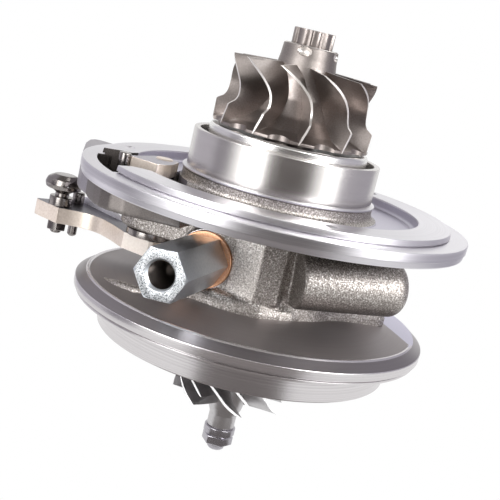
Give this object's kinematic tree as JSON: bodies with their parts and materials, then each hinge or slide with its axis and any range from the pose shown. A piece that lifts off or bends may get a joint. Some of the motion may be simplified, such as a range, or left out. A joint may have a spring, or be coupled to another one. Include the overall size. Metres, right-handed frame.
{
  "type": "turbo cartridge",
  "caption": "Turbocharger core with bearing housing, bladed turbine and compressor wheels on one shaft, oil inlet adapter and vane control lever.",
  "frame": {"origin": "on the shaft axis, at the upper (turbine side) face of the turbine flange's rim", "axes": "+Z along the shaft towards the turbine wheel, -Y along the oil inlet, +Y out of the oil drain"},
  "size_m": [0.1577, 0.14, 0.1586],
  "materials": {
    "cast_body": "sand cast, faces machined",
    "bright_sheet": "bright pressed sheet",
    "bearing_brass": "fine turned",
    "dark_steel": "polished",
    "machined_steel": "turned",
    "seal_rubber": "matt",
    "zinc_steel": "bright zinc plated",
    "copper": "annealed copper",
    "nickel_alloy": "investment cast, satin",
    "wheel_aluminium": "cast, machined edges",
    "lever_steel": "blanked and tumbled"
  },
  "bodies": {
    "housing": {"bearing_housing": "cast_body", "heat_shield": "bright_sheet", "journal_bearing": "bearing_brass", "bearing_pin": "dark_steel", "thrust_bearing": "bearing_brass", "thrust_dowels": "dark_steel", "compressor_backplate": "machined_steel", "backplate_o_ring": "seal_rubber", "backplate_screws": "dark_steel", "turbine_piston_ring": "dark_steel", "compressor_piston_ring": "dark_steel", "oil_inlet_fitting": "zinc_steel", "copper_washer": "copper", "upper_lever_bush": "dark_steel", "lower_lever_bush": "dark_steel"},
    "rotor": {"turbine_wheel": "nickel_alloy", "turbine_shaft": "machined_steel", "thrust_collar": "machined_steel", "oil_flinger": "machined_steel", "compressor_wheel": "wheel_aluminium", "compressor_nut": "dark_steel"},
    "lever": {"lever_shaft": "machined_steel", "control_lever": "lever_steel", "crank_arm": "lever_steel", "crank_pin": "dark_steel", "ball_stud": "dark_steel", "ball_stud_nut": "dark_steel", "stop_pin": "dark_steel"}
  },
  "joints": [
    {"name": "rotor_spin", "type": "hinge", "parent": "housing", "child": "rotor", "pos_m": [0, 0, 0], "axis": [0, 0, 1], "continuous": true},
    {"name": "vane_lever", "type": "hinge", "parent": "housing", "child": "lever", "pos_m": [-0.0376, -0.0175, 0], "axis": [0, 0, 1], "range_deg": [-16, 22]}
  ]
}
